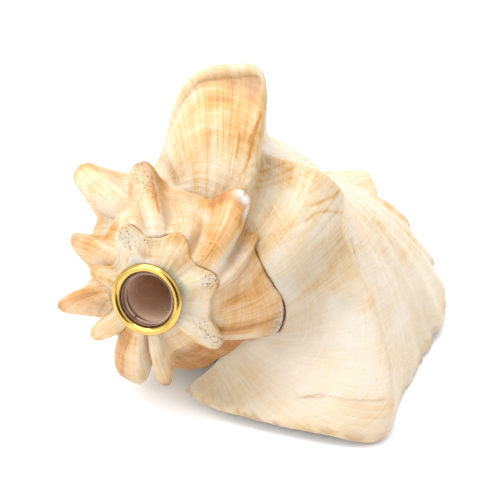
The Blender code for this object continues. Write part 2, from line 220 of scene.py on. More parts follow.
# Tone of the shell, from white at 0 to rust at 1: the colours on the way, the ground tone, and what each
# mark adds to it; then the shares of the brown mask
TONE_STOPS = ((0.0, WHITE), (0.22, IVORY), (0.40, CREAM), (0.56, HONEY), (0.72, AMBER_PALE), (0.88, AMBER),
              (1.0, RUST))
TONE_GROUND = 0.31
TONE_SHARES = {"coloured": 0.10, "lip": -0.07, "shoulder": 0.22, "flank": 0.10, "drift": 0.07, "honey": 0.25,
               "peach": 0.10, "edge": 0.16, "side": 0.12, "tips": 0.34, "amber": 0.26, "lines": 0.50}
UMBER_SHARES = {"tips": 0.35, "suture": 0.35, "specks": 0.45}

# Where the marks of the finish begin and how far they take to fade in or out, in turns or places across
EARLY_FADE = (560.0, 160.0)
PLAIN_FADE = (20.0, 190.0)
LIP_FADE = (790.0, 30.0)
MARGIN_FADE = (-4.0, 4.0)
SIDE_FADE = (0.42, 0.2)
SIDE_FROM = (470.0, 40.0)
SIDE_TO = (700.0, 70.0)
SUTURE_TO = (836.0, 10.0)
# GAP_FROM, GAP_TO and the gap's width: where the dark, partly painted shade in the suture gap begins and
# ends, and how wide it is across
GAP_FROM = (752.0, 6.0)
GAP_TO = (836.0, 8.0)
SHOULDER_WIDTH = 0.07
SUTURE_WIDTH = 0.018
GAP_SHADE_WIDTH = 0.015
FLANK_AT = 5.0

# Noises that follow the whorl: scales along and beside it, detail, roughness, distortion, share of the tone
FLOW_NOISES = {"band": (210.0, 15.0, 4.0, 0.6, 0.5, 0.75), "fine": (1150.0, 26.0, 4.0, 0.62, 0.25, 0.85),
               "block": (45.0, 230.0, 3.0, 0.55, 0.0, 0.4), "cord": (34.0, 850.0, 3.0, 0.6, 0.0, 0.35),
               "broad": (62.0, 18.0, 3.0, 0.55, 0.5, 0.8)}
CLOUD = (42.0, 4.0, 0.55)
CLOUD_SHARE = 1.15
SPECK = (520.0, 3.0, 0.6)
PIT_SCALE = 850.0
LINING_SCALE = 24.0
LIP_CALM = 0.30
BUMP_STRENGTH = 0.8
BUMP_HEIGHT = 0.0006

# Coloured patches: growth turn, place across, half widths along and across, strength. The stains on the
# knobs' tips lie on the shoulder and have no place across.
TIP_STAINS = [(119, 4, 0.04, 0.5), (169, 4, 0.035, 1.0), (199, 6, 0.03, 0.9), (245.5, 4.5, 0.05, 1.0),
              (285, 5, 0.05, 0.7), (340, 4, 0.04, 0.9), (600, 6, 0.04, 0.6), (659, 7, 0.04, 0.9)]
# The first one here, turn 456: strong orange-brown under the knob at turn 464, partly its own colour, partly
# painted shade
AMBER_PATCHES = [(456, 0.16, 3.5, 0.14, 1.3), (204, 0.20, 11, 0.2, 1.0), (164, 0.24, 5, 0.1, 0.6),
                 (393, 0.20, 3.5, 0.17, 1.0), (387, 0.17, 8, 0.16, 0.55), (434, 0.14, 4, 0.07, 0.8),
                 # Turn 505 here: orange-brown in the hollow between the spire and the lip, partly its own
                 # colour, partly painted shade
                 (454, 0.17, 7, 0.10, 0.9), (505, 0.20, 28, 0.16, 0.85), (366, 0.10, 3, 0.08, 0.5),
                 (354, 0.08, 3, 0.07, 0.5), (199, 0.17, 9, 0.14, 0.7), (243, 0.15, 5, 0.10, 0.75),
                 (283, 0.20, 4, 0.12, 0.4), (753, 0.08, 9, 0.08, 0.7), (762, 0.12, 5, 0.06, 0.5),
                 # These three, turns 719 to 728: amber under the tongue's rim, partly its own colour, partly
                 # painted shade of the recess
                 (728, 0.275, 6, 0.035, 1.0), (719, 0.24, 6, 0.035, 0.8), (724, 0.2, 12, 0.1, 0.45),
                 (667, 0.32, 4, 0.03, 0.7), (700, 0.12, 9, 0.10, 0.35),
                 (749, 0.33, 1.6, 0.02, 0.6), (757, 0.27, 2.2, 0.025, 0.6),
                 (781, 0.21, 2.5, 0.03, 0.6), (793, 0.25, 2, 0.02, 0.55), (806, 0.35, 2.5, 0.02, 0.45),
                 (804, 0.28, 2, 0.02, 0.45), (810, 0.34, 2, 0.02, 0.4), (-1, 0.16, 8, 0.07, 0.55),
                 # The first one here, turn 17: amber on the shaded flank of the knob at turn 18, painted
                 # shade
                 (17, 0.26, 4, 0.06, 0.55), (-40, 0.115, 2.2, 0.018, 1.0), (655.5, 0.30, 0.8, 0.012, 1.0),
                 (657, 0.285, 0.8, 0.010, 0.9), (659, 0.143, 0.8, 0.012, 0.9), (-138, 0.22, 9, 0.12, 0.5),
                 (119, 0.10, 14, 0.05, 0.3), (339, 0.24, 6, 0.10, 0.35)]
HONEY_PATCHES = [(727, 0.26, 19, 0.16, 1.25), (722, 0.12, 20, 0.1, 0.35), (391, 0.2, 9, 0.16, 0.8),
                 (342, 0.26, 7, 0.12, 0.9), (667, 0.2, 9, 0.16, 0.8), (766, 0.31, 9, 0.09, 1.0),
                 (757, 0.26, 8, 0.1, 0.6), (245, 0.18, 12, 0.16, 1.0), (203, 0.2, 12, 0.2, 1.0),
                 (284, 0.24, 8, 0.12, 0.5), (460, 0.14, 16, 0.1, 0.5), (505, 0.2, 30, 0.2, 1.0),
                 (303, 0.24, 6, 0.1, 0.4), (170, 0.25, 6, 0.1, 0.4), (790, 0.22, 8, 0.12, 0.3)]
PEACH_PATCHES = [(700, 0.14, 14, 0.12, 0.4), (440, 0.15, 22, 0.14, 0.35), (505, 0.2, 34, 0.2, 0.6),
                 (380, 0.15, 16, 0.16, 0.3), (755, 0.1, 14, 0.1, 0.4), (245, 0.2, 22, 0.2, 0.3)]
# Turns 506 and 456 here and 500 below: brown in the hollow by the lip and under the knob at turn 464,
# painted shade
UMBER_PATCHES = [(506, 0.20, 22, 0.15, 0.30), (456, 0.16, 3, 0.12, 0.35),
                 (169, 0.335, 3.2, 0.02, 0.8), (500, 0.34, 16, 0.10, 0.35), (203, 0.335, 5, 0.012, 0.5),
                 # These three, turns 724 to 731: brown under the tongue's rim, painted shade of the recess
                 # with some brown of its own
                 (728, 0.285, 5, 0.018, 0.3), (731, 0.292, 1.0, 0.008, 0.6), (724, 0.288, 1.2, 0.006, 0.5),
                 (391.5, 0.333, 0.8, 0.008, 0.9)]
GREY_PATCHES = [(806, 0.265, 3, 0.04, 0.5), (-29, 0.25, 9, 0.09, 0.75), (64, 0.29, 8, 0.06, 0.6),
                (116, 0.28, 8, 0.09, 0.6), (339, 0.30, 6, 0.07, 0.55), (288, 0.30, 7, 0.07, 0.45),
                # The patch at turn 75 is painted shadow of the ring
                (75, 0.06, 22, 0.07, 0.35),
                # The last one here, turn 767: olive-grey in the dip beside the knob at turn 772, painted
                # shade
                (462, 0.325, 12, 0.022, 0.7), (168, 0.24, 6, 0.12, 0.45), (767, 0.315, 4, 0.04, 0.5),
                # Turn 729: grey under the tongue's rim, partly painted shade
                (729, 0.29, 7, 0.03, 0.35)]
CHALK_PATCHES = [(818, 0.27, 12, 0.07, 0.5), (806, 0.21, 5, 0.05, 0.35), (391.5, 0.325, 4.6, 0.024, 1.0),
                 (395.5, 0.30, 1.6, 0.03, 0.9), (-22, 0.07, 24, 0.04, 0.6), (729, 0.335, 9, 0.02, 0.25),
                 (462, 0.335, 14, 0.008, 0.6)]
# Green-grey patches beside the ring: painted shadow of the ring, tinted as verdigris
VERDIGRIS_SHADOW_PATCHES = [(50, 0.03, 34, 0.075, 0.85), (75, 0.02, 30, 0.05, 0.6)]
PITTED_PATCHES = [(-13, 0.31, 9, 0.05, 1.0), (-29, 0.24, 9, 0.09, 1.0), (64, 0.29, 7, 0.07, 1.0),
                  (114, 0.27, 8, 0.09, 0.9), (461, 0.32, 10, 0.03, 0.8), (339, 0.28, 7, 0.10, 0.8),
                  (386, 0.1, 6, 0.05, 0.4)]

# Painted lines: width in millimetres, strength, points of turn and place across
ACROSS_SIZE = 130.0
AMBER_LINES = [(0.8, 0.9, [(738.9, 0.241), (740.3, 0.186), (743.6, 0.136), (744.8, 0.107)]),
               (0.5, 0.6, [(736, 0.18), (738.5, 0.14), (740, 0.12)]),
               (0.8, 0.9, [(771.5, 0.251), (771.6, 0.27), (772.4, 0.308), (771.8, 0.335)]),
               (0.7, 0.8, [(775.4, 0.203), (774.6, 0.24), (774.8, 0.26), (778.9, 0.325)]),
               (0.5, 0.55, [(744, 0.09), (746.6, 0.15), (749.5, 0.25), (753, 0.33)]),
               (0.5, 0.5, [(747, 0.10), (750, 0.17), (753.6, 0.241), (757, 0.33)]),
               (0.5, 0.45, [(750, 0.11), (754, 0.19), (757.5, 0.26), (762, 0.33)]),
               (0.8, 0.9, [(344, 0.30), (347.5, 0.25), (351.5, 0.19), (356, 0.13)]),
               (0.6, 0.5, [(283, 0.31), (290, 0.27), (297, 0.20)])]
UMBER_LINES = [(0.5, 0.45, [(843, 0.177), (838.8, 0.196), (834.6, 0.263), (830.9, 0.313)]),
               (0.5, 0.35, [(845, 0.168), (841, 0.19), (838, 0.21)]),
               (0.5, 0.4, [(791, 0.372), (796, 0.362), (800, 0.35)]),
               # The last line: brown crease under the tongue's rim, painted shade with some brown of its own
               (0.5, 0.5, [(716.5, 0.31), (722, 0.300), (728, 0.300), (733, 0.308)])]

# Studio light. The surroundings are strong above the camera and dim behind it: direction, blend, the
# cosines between which the strength changes, and its values there. Lamps: place, size, power.
SURROUNDINGS = [((-0.10, -0.45, 0.89), "LINEAR", (-0.6, 0.9, 1.0, 1.9)),
                ((0.30, -0.85, 0.43), "SMOOTHSTEP", (0.76, 0.95, 1.0, 0.08))]
LAMPS = {"key light": ((-0.4, 0.05, 1.4), 1.2, 26.0), "front light": ((-0.5, -1.2, 0.8), 1.0, 10.0)}
LAMPS_TOWARDS = (0.0, 0.0, 0.05)
FLOOR_REACH = 3.0

# Camera at the photograph's viewing angle
AZIMUTH = 21.0
ELEVATION = 38.0
CAMERA_FROM_MOUTH = (0.3271, -0.7300, 0.6508)
LENS = 174.3


def curve(points):
    """Smooth curve through given points that never overshoots: cubic pieces whose slope at each point
    is the harmonic mean of its two neighbours' slopes."""
    xs = np.array([p[0] for p in points], float)
    ys = np.array([p[1] for p in points], float)
    step = np.diff(xs)
    rise = np.diff(ys) / step
    slope = np.zeros_like(ys)
    product = rise[:-1] * rise[1:]
    slope[1:-1] = np.where(product > 0, 2 * product / (rise[:-1] + rise[1:] + 1e-12), 0)
    slope[0] = rise[0]
    slope[-1] = rise[-1]

    def value(x):
        """The curve's height at x."""
        i = np.clip(np.searchsorted(xs, x) - 1, 0, len(step) - 1)
        t = (x - xs[i]) / step[i]
        start = (2 * t ** 3 - 3 * t ** 2 + 1) * ys[i] + (t ** 3 - 2 * t ** 2 + t) * step[i] * slope[i]
        end = (3 * t ** 2 - 2 * t ** 3) * ys[i + 1] + (t ** 3 - t ** 2) * step[i] * slope[i + 1]
        return start + end
    return value


shoulder_radius = curve(SHOULDER_RADIUS)
shoulder_depth = curve(SHOULDER_DEPTH)
canal_depth = curve(CANAL_DEPTH)
side_profile = curve(SIDE_PROFILE)
margin_turn = curve([(m[0], m[1]) for m in MARGIN])
margin_radius = curve([(m[0], m[2]) for m in MARGIN])
margin_depth = curve([(m[0], m[3]) for m in MARGIN])
bore_radius = curve(BORE)
buried_knobs = [k for k in KNOBS if k[0] in BURIED_KNOBS]
tongue_knob = [k for k in KNOBS if k[0] == TONGUE]


def ease(t):
    """Smooth step: 3 t^2 - 2 t^3 with t held between 0 and 1."""
    t = np.clip(t, 0, 1)
    return t * t * (3 - 2 * t)


def fade(value, start, length):
    """Smooth step from 0 at the start to 1 one length further on."""
    return ease((value - start) / length)


def knob_reach(turn, knobs=KNOBS):
    """How far the knobs carry the shoulder outwards and towards the canal: for each knob
    exp(-|s|^bluntness), where s is the distance along the shoulder over the knob's half width."""
    out = np.zeros_like(turn)
    down = np.zeros_like(turn)
    for at, tip_radius, tip_depth, before, after, bluntness, lean in knobs:
        base_radius = shoulder_radius(np.float64(at))
        base_depth = shoulder_depth(np.float64(at))
        along = np.radians(turn - at) * 0.5 * (tip_radius + base_radius)
        s = along / np.where(along < 0, before, after)
        bump = np.exp(-np.abs(s) ** bluntness)
        leaning = 1 + lean * np.clip(s, -1.2, 1.2)
        out = np.maximum(out, bump * (tip_radius - base_radius) * leaning)
        down = down + bump * (tip_depth - base_depth)
    return out, down


def suture(turn, across, knobs):
    """Radius and depth of the line where a whorl sits on the older one: a share of the older whorl's
    shoulder radius, sunk under it by a share of that radius. In the flush zones the sinking is small, and
    exp(-(across/width)^2) times the gap's depth is added to it."""
    coiled = fade(turn, COIL_TURN, COIL_REACH)
    wrapped, wrapped_down = knob_reach(turn - 360, buried_knobs if knobs else [])
    older_radius = shoulder_radius(turn - 360) + wrapped
    older_depth = shoulder_depth(turn - 360) + wrapped_down
    flush = 0 * turn
    gap = 0 * turn
    for at, reach, gap_depth in FLUSH_ZONES if knobs else []:
        zone = np.exp(-((turn - 360 - at) / reach) ** 4)
        flush = flush + zone
        gap = gap + zone * (FLUSH_SINK + gap_depth * np.exp(-(across / GAP_WIDTH) ** 2))
    sunk = SUTURE_SINK * older_radius * (1 - flush) + gap
    radius = (1 - coiled) * SEAT_RADIUS + coiled * (SUTURE_SHARE + FLUSH_SHARE * flush) * older_radius
    depth = (1 - coiled) * SEAT_DEPTH + coiled * (older_depth + sunk)
    return radius, depth


def whorl(turn, across, knobs):
    """Radius and depth of the wall: a hollowed ramp from the suture to the shoulder, then the side,
    whose radius is the shoulder's radius times a profile that narrows to the canal."""
    held = np.minimum(turn, LAST_TURN)
    radius = shoulder_radius(held)
    depth = shoulder_depth(held)
    ramp = np.clip(across / KEEL, 0, 1)
    side = np.clip((across - KEEL) / (1 - KEEL), 0, 1)
    lag = KNOB_LAG * fade(turn, COIL_TURN, COIL_REACH) * (1 - ramp)
    out, down = knob_reach(turn - lag, KNOBS if knobs else [])
    suture_radius, suture_depth = suture(turn, across, knobs)
    cup_width = np.where(ramp > CUP_AT, CUP_WIDTH_OUT, CUP_WIDTH_IN)
    cup = knob_reach(turn, tongue_knob)[0] / TONGUE_REACH * np.exp(-((ramp - CUP_AT) / cup_width) ** 2)
    hollow = RAMP_HOLLOW * radius * ramp * (1 - ramp) * (1 - np.clip(out / FLAT_UNDER_KNOB, 0, 1))
    rounding = 1 + KNOB_ROUNDING * np.clip(out / ROUNDING_REACH, 0, 1)
    ramp_radius = suture_radius + (radius + out - suture_radius) * ramp
    ramp_depth = suture_depth + (depth + down - suture_depth) * ramp ** rounding + hollow + CUP_DEPTH * cup
    under = np.exp(-(side / KNOB_ROOT) ** KNOB_ROOT_BLUNTNESS)
    body_radius = np.where(radius > BODY_RADIUS, BODY_RADIUS + BODY_GROWTH * (radius - BODY_RADIUS), radius)
    side_depth = depth + down * under + (canal_depth(held) - depth) * side
    from_callus = (side_depth - CALLUS_DEPTH) / CALLUS_LENGTH
    callus = CALLUS * np.exp(-((turn - CALLUS_TURN) / CALLUS_REACH) ** 2 - from_callus ** 2)
    side_radius = body_radius * side_profile(side) + (out + radius - body_radius) * under + callus
    on_ramp = across < KEEL
    return np.where(on_ramp, ramp_radius, side_radius), np.where(on_ramp, ramp_depth, side_depth)


def shell_wall(turn, across, knobs=True):
    """Turn, radius and depth of the outer wall; after FLARE_TURN each line across the wall runs on
    to its own point of the lip margin."""
    turn, across = np.broadcast_arrays(turn, across)
    flare = np.clip((turn - FLARE_TURN) / (LAST_TURN - FLARE_TURN), 0, 1)
    end_turn = margin_turn(across)
    turn = np.where(flare > 0, FLARE_TURN + (end_turn - FLARE_TURN) * flare, turn)
    radius, depth = whorl(turn, across, knobs)
    to_spire = 1 - np.clip(across / KEEL, 0, 1)
    power = LATE_POWER + (LATE_POWER_AT_SUTURE - LATE_POWER) * to_spire ** 2
    late = np.clip((turn - LATE_TURN) / np.maximum(end_turn - LATE_TURN, LATE_LENGTH), 0, 1) ** power
    blend = fade(across, KEEL, MARGIN_BLEND)
    pull = late * (1 - blend) + flare ** 2 * blend
    radius = radius + (margin_radius(across) - radius) * pull
    depth = depth + (margin_depth(across) - depth) * pull
    return turn, radius, depth


def place(turn, radius, depth):
    """Points in metres: the radius turned about the shell's axis, and the depth along the axis, which
    is tilted down towards the canal."""
    tilt = math.radians(AXIS_TILT)
    angle = np.radians(turn)
    side = radius * np.sin(angle)
    rise = radius * np.cos(angle)
    x = MOUTH_AT[0] + side
    y = MOUTH_AT[1] + rise * math.sin(tilt) + depth * math.cos(tilt)
    z = MOUTH_AT[2] + rise * math.cos(tilt) - depth * math.sin(tilt)
    return np.stack([x, y, z], axis=-1) * MM


def scatter(i, j, seed):
    """A repeatable number from 0 to 1 for each pair of whole numbers."""
    mixed = np.sin(i * 127.1 + j * 311.7 + seed * 74.7) * 43758.5453
    return mixed - np.floor(mixed)


def wander(x, y, seed):
    """Smooth noise from -1 to 1: the numbers at the four corners of each unit square, blended by a
    smooth step along both sides."""
    i, j = np.floor(x), np.floor(y)
    s, t = ease(x - i), ease(y - j)
    low = scatter(i, j, seed) * (1 - s) + scatter(i + 1, j, seed) * s
    high = scatter(i, j + 1, seed) * (1 - s) + scatter(i + 1, j + 1, seed) * s
    return 2 * (low * (1 - t) + high * t) - 1


def layered(x, y, seed, layers=3):
    """Sum of noise layers, each twice as fine and half as strong as the one before."""
    total = 0 * x
    for k in range(layers):
        total = total + wander(x * 2 ** k, y * 2 ** k, seed + k) / 2 ** k
    return total


def relief(turn, across):
    """Height in millimetres of the surface's own detail: layered noise drawn out across the whorl as
    growth lines and bands, along it as fine cords, and evenly as the unevenness of an old shell, plus a
    sine of the place across as low ribs that end in the scallops of the margin."""
    total = 0 * turn
    for first, last, size, breadth in RELIEF_SPANS:
        begins, ends = first - SPAN_OVERLAP / 2, last - SPAN_OVERLAP / 2
        share = fade(turn, begins, SPAN_OVERLAP) * (1 - fade(turn, ends, SPAN_OVERLAP))
        arc = np.radians(turn) * size
        wide = across * breadth
        wavy = arc + 1.2 * wander(arc / 24, wide / 18, 3)
        cord_line = wide + 0.8 * wander(arc / 25, wide / 12, 5)
        height, along, beside = GROWTH_LINES
        growth = height * layered(wavy / along, wide / beside, 11, 3)
        height, along, beside = GROWTH_BANDS
        bands = height * wander(wavy / along, wide / beside, 17)
        height, along, beside = CORDS
        cords = height * layered(arc / along, cord_line / beside, 23, 2)
        height, along, beside = UNEVENNESS
        uneven = height * layered(arc / along, wide / beside, 31, 3)
        total = total + share * (growth + bands + cords + uneven)
    ribs = np.sin(2 * math.pi * (across * 230 + 3 * wander(turn / 12, across * 14, 47)) / RIB_SPACING)
    late = fade(turn, RIB_TURN, RIB_REACH) * fade(across, WING_ACROSS[0], 0.1)
    return total + RIB_HEIGHT * late * ribs


def rounded(points, across, passes=7):
    """Softens the crease along the shoulder: each pass moves a point half of the way to the
    middle of its two neighbours across the whorl, less and less away from the shoulder."""
    weight = (0.5 * np.exp(-((across - KEEL) / SHOULDER_SOFTENED) ** 4))[None, 1:-1, None]
    for _ in range(passes):
        middle = 0.5 * (points[:, :-2] + points[:, 2:])
        points = np.concatenate([points[:, :1], points[:, 1:-1] + weight * (middle - points[:, 1:-1]),
                                 points[:, -1:]], axis=1)
    return points


def normals(points):
    """Unit normals of a grid of points, from the differences along its rows and columns."""
    normal = np.cross(np.gradient(points, axis=0), np.gradient(points, axis=1))
    return normal / np.maximum(np.linalg.norm(normal, axis=-1, keepdims=True), 1e-12)


def outward(points):
    """Normals of a grid of the outer wall, turned to point away from the shell's axis."""
    normal = normals(points)
    axis = place(np.zeros(1), np.zeros(1), np.full(1, 60.0))[0]
    row, column = points.shape[0] // 2, points.shape[1] // 2
    sign = np.sign(np.dot(normal[row, column], points[row, column] - axis))
    return normal * sign


def in_box(points):
    """Points held inside the CAD model's own box, which also wears the resting places flat."""
    return np.clip(points, np.array(cad_low) + 1e-5, np.array(cad_high) - 1e-5)


def facing_out(points, faces):
    """The faces in the order that makes them face outwards: the volume that they enclose is positive."""
    corner = points[faces]
    cross = np.cross(corner[:, 2] - corner[:, 0], corner[:, 3] - corner[:, 1])
    volume = np.einsum("ij,ij->i", corner.mean(axis=1), cross).sum()
    return faces if volume >= 0 else faces[:, ::-1]


def mesh_piece(name, points, faces, smooth, finish):
    """A mesh object from arrays of points and quads."""
    mesh = bpy.data.meshes.new(name)
    mesh.vertices.add(len(points))
    mesh.vertices.foreach_set("co", points.astype(np.float32).ravel())
    mesh.loops.add(faces.size)
    mesh.loops.foreach_set("vertex_index", faces.astype(np.int32).ravel())
    mesh.polygons.add(len(faces))
    mesh.polygons.foreach_set("loop_start", (np.arange(len(faces)) * faces.shape[1]).astype(np.int32))
    mesh.polygons.foreach_set("use_smooth", np.asarray(smooth, bool))
    mesh.update(calc_edges=True)
    mesh.validate()
    mesh.materials.append(finish)
    piece = bpy.data.objects.new(name, mesh)
    bpy.context.scene.collection.objects.link(piece)
    return piece


def dress(piece, node):
    """The piece rides on the body and stands in for its CAD node."""
    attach(piece, "root")
    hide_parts(node)


def add_grid(name, outer, inner, values):
    """A closed piece of shell from two grids of the same size: each row runs along the outer grid and
    back along the inner one, and a ladder of quads closes each end. Its corners are sharp, and each
    value is stored point by point for the finish."""
    rows, count = outer.shape[:2]
    loops = np.concatenate([outer, inner[:, ::-1]], axis=1)
    columns = 2 * count
    i, j = np.meshgrid(np.arange(rows - 1), np.arange(columns), indexing="ij")
    k = (j + 1) % columns
    quads = np.stack([i * columns + j, i * columns + k, (i + 1) * columns + k, (i + 1) * columns + j], -1)
    a = np.arange(count - 1)
    first = np.stack([a, columns - 1 - a, columns - 2 - a, a + 1], -1)
    last = first[:, ::-1] + (rows - 1) * columns
    points = in_box(loops).reshape(-1, 3)
    faces = facing_out(points, np.concatenate([quads.reshape(-1, 4), first, last]))
    smooth = np.ones(len(faces), bool)
    smooth[-2 * (count - 1):] = False
    piece = mesh_piece(name, points, faces, smooth, shell_colours)
    ends = np.zeros(len(piece.data.edges) * 2, np.int32)
    piece.data.edges.foreach_get("vertices", ends)
    row, column = ends.reshape(-1, 2).T // columns, ends.reshape(-1, 2).T % columns
    sharp = (row[0] == row[1]) & ((row[0] == 0) | (row[0] == rows - 1))
    sharp |= (column[0] == column[1]) & np.isin(column[0], (0, count - 1, count, columns - 1))
    piece.data.attributes.new("sharp_edge", "BOOLEAN", "EDGE").data.foreach_set("value", sharp)
    for key, (on_outer, on_inner) in values.items():
        grid = np.concatenate([on_outer + np.zeros((rows, count)),
                               (on_inner + np.zeros((rows, count)))[:, ::-1]], axis=1)
        attribute = piece.data.attributes.new(key, "FLOAT", "POINT")
        attribute.data.foreach_set("value", grid.astype(np.float32).ravel())
    dress(piece, "shell")


def turned(name, profile, segments, finish, node, smooth=True):
    """A closed ring: a closed profile of radius and depth carried round the shell's axis."""
    turns = np.linspace(0, 360, segments, endpoint=False)[:, None]
    radius, depth = np.array(profile).T[:, None]
    count = len(profile)
    i, j = np.meshgrid(np.arange(segments), np.arange(count), indexing="ij")
    k, m = (i + 1) % segments, (j + 1) % count
    quads = np.stack([i * count + j, k * count + j, k * count + m, i * count + m], -1).reshape(-1, 4)
    points = in_box(place(turns + 0 * radius, radius + 0 * turns, depth + 0 * turns)).reshape(-1, 3)
    faces = facing_out(points, quads)
    dress(mesh_piece(name, points, faces, np.full(len(faces), smooth), finish), node)


class Value:
    """A socket in an expression: each operator adds one Math node."""

    def __init__(self, finish, socket):
        self.finish, self.socket = finish, socket

    def math(self, operation, *values, clamp=False):
        """One Math node on the values."""
        return self.finish.node("ShaderNodeMath", {"operation": operation, "use_clamp": clamp},
                                dict(enumerate(values)))

    def __add__(self, other):
        return self.math("ADD", self, other)

    def __sub__(self, other):
        return self.math("SUBTRACT", self, other)

    def __rsub__(self, other):
        return self.math("SUBTRACT", other, self)

    def __mul__(self, other):
        return self.math("MULTIPLY", self, other)

    def clamped(self):
        """The value held between 0 and 1."""
        return self.math("ADD", self, 0.0, clamp=True)

    __radd__, __rmul__ = __add__, __mul__


class Finish:
    """One material: its Principled shader and the nodes that expressions add to it."""

    def __init__(self, name, **constants):
        self.material = bpy.data.materials.new(name)
        self.material.use_nodes = True
        self.tree = self.material.node_tree
        self.shader = self.tree.nodes["Principled BSDF"]
        for key, value in constants.items():
            self.shader.inputs[key.replace("_", " ")].default_value = value

    def node(self, kind, settings, sockets, output=0):
        """Adds a node: settings first, then the value or link of each socket; gives one output."""
        node = self.tree.nodes.new(kind)
        for key, value in settings.items():
            if key == "stops":
                ramp = node.color_ramp
                while len(ramp.elements) < len(value):
                    ramp.elements.new(0.5)
                for element, (position, colour) in zip(ramp.elements, value):
                    element.position, element.color = position, (*colour, 1.0)
            else:
                setattr(node, key, value)
        for key, value in sockets.items():
            if isinstance(value, Value):
                self.tree.links.new(value.socket, node.inputs[key])
            else:
                node.inputs[key].default_value = value
        return Value(self, node.outputs[output])

    def attribute(self, name):
        """A value stored in the mesh."""
        return self.node("ShaderNodeAttribute", {"attribute_name": name}, {}, "Fac")

    def spot(self):
        """Object coordinates in metres."""
        return self.node("ShaderNodeTexCoord", {}, {}, "Object")

    def flow(self, along, across):
        """A vector from two values, for patterns that follow the whorl."""
        return self.node("ShaderNodeCombineXYZ", {}, {"X": along, "Y": across})

    def noise(self, vector, scale, detail=3.0, rough=0.5, distortion=0.0):
        """Noise from 0 to 1 with its own scale and layers."""
        return self.node("ShaderNodeTexNoise", {"noise_dimensions": "3D"},
                         {"Vector": vector, "Scale": scale, "Detail": detail, "Roughness": rough,
                          "Distortion": distortion}, "Fac")

    def step(self, value, low, high, start=0.0, end=1.0):
        """Smooth step from start to end as the value goes from low to high."""
        return self.node("ShaderNodeMapRange", {"interpolation_type": "SMOOTHSTEP"},
                         {"Value": value, "From Min": low, "From Max": high, "To Min": start, "To Max": end})

    def mix(self, mask, under, over, blend="MIX"):
        """One colour over another by a mask."""
        under, over = [(*colour, 1.0) if isinstance(colour, tuple) else colour for colour in (under, over)]
        return self.node("ShaderNodeMix", {"data_type": "RGBA", "blend_type": blend, "clamp_factor": True},
                         {0: mask, 6: under, 7: over}, 2)

    def bump(self, height, strength, distance):
        """Normals bent by a height."""
        sockets = {"Height": height, "Strength": strength, "Distance": distance}
        return self.node("ShaderNodeBump", {}, sockets)

    def feed(self, **sockets):
        """Links the values to the shader, and gives the finished material."""
        for key, value in sockets.items():
            self.tree.links.new(value.socket, self.shader.inputs[key.replace("_", " ")])
        return self.material


def shell_finish(name):
    """Old shell. The tone stored in the mesh plus noises that follow the whorl picks a colour from the
    ramp; over it lie the peach tint, grey and chalky wear with some painted shade, the ring's painted
    shadow tinted as verdigris, dark pits, brown stains with painted shade in the hollows, and the gap,
    dark red-brown and partly painted shade. The inside of the walls is pink; the bore is brown, painted
    light deep in the hole and painted shade at its top edge."""
    f = Finish(name, IOR=1.45)
    along, beside, inside = f.attribute("along"), f.attribute("beside"), f.attribute("inside")
    spot = f.spot()
    cloud = f.noise(spot, *CLOUD)
    speck = f.noise(spot, *SPECK)
    texture = (cloud - 0.5) * CLOUD_SHARE
    flow = {}
    for key, (scale_along, scale_beside, detail, rough, distortion, share) in FLOW_NOISES.items():
        vector = f.flow(along * scale_along, beside * scale_beside)
        flow[key] = f.noise(vector, 1.0, detail, rough, distortion)
        texture = texture + (flow[key] - 0.5) * share
    tone = f.attribute("tone") + texture * (1.0 - f.attribute("pale") * LIP_CALM)
    ramp = f.node("ShaderNodeValToRGB", {"stops": TONE_STOPS}, {"Fac": tone})
    tinted = f.mix(f.attribute("peach"), ramp, f.mix(1.0, ramp, PEACH_TINT, "MULTIPLY"))
    # Grey: worn grey patches, and painted shade beside the ring, in the dip by the last knob and under the
    # tongue's rim
    grey = f.mix((f.attribute("grey") * f.step(speck, 0.25, 0.6, 0.6, 1.0)).clamped(), tinted, GREY)
    chalk = f.mix((f.attribute("chalk") * f.step(speck, 0.3, 0.55, 0.7, 1.0)).clamped(), grey, CHALK)
    # Painted shadow of the ring: green-grey over the shell beside it
    ring_shadowed = f.mix(f.attribute("verdigris") * f.step(cloud, 0.3, 0.6, 0.6, 1.0), chalk, VERDIGRIS_SHADOW)
    cells = {"Vector": spot, "Scale": PIT_SCALE}
    far = f.node("ShaderNodeTexVoronoi", {"feature": "F1"}, cells, "Distance")
    pits = f.step(far, 0.36, 0.20) * f.attribute("pitted") * f.step(cloud, 0.32, 0.44)
    pitted = f.mix(pits, ring_shadowed, UMBER)
    # Brown mask: real stains and specks with painted shade in the hollows; on the bore it marks the painted
    # shade of its top edge
    brown = (f.attribute("umber") * f.step(flow["band"], 0.3, 0.6, 0.7, 1.15)).clamped()
    # The gap: dark red-brown in the suture gap, partly painted shade
    deep = f.mix(f.attribute("gap"), f.mix(brown, pitted, UMBER), DEEP)
    pink = f.mix(f.step(f.noise(spot, LINING_SCALE, 3.0), 0.3, 0.7), PINK, ROSE)
    # The bore: painted light deep in the hole, painted shade at its top edge
    bore = f.mix(f.attribute("umber"), BORE_TONE, BORE_EDGE)
    colour = f.mix(inside, deep, f.mix(f.attribute("bore"), pink, bore))
    rough = f.step(speck, 0.3, 0.7, 0.42, 0.58) * (1 - inside * 0.5)
    height = (flow["fine"] * 0.6 + flow["band"] * 0.8 + flow["cord"] * 0.5 + speck * 0.45 - pits * 1.8)
    normal = f.bump(height * (1 - inside * 0.9), BUMP_STRENGTH, BUMP_HEIGHT)
    return f.feed(Base_Color=colour, Roughness=rough, Normal=normal)


def brass_finish():
    """Polished brass with a few dull spots, which a noise in space places."""
    f = Finish("polished brass", Metallic=1.0)
    dull = f.noise(f.spot(), 160.0, 3.0)
    colour = f.mix(f.step(dull, 0.4, 0.7), BRASS, BRASS_DULL)
    return f.feed(Base_Color=colour, Roughness=f.step(dull, 0.3, 0.8, 0.07, 0.16))


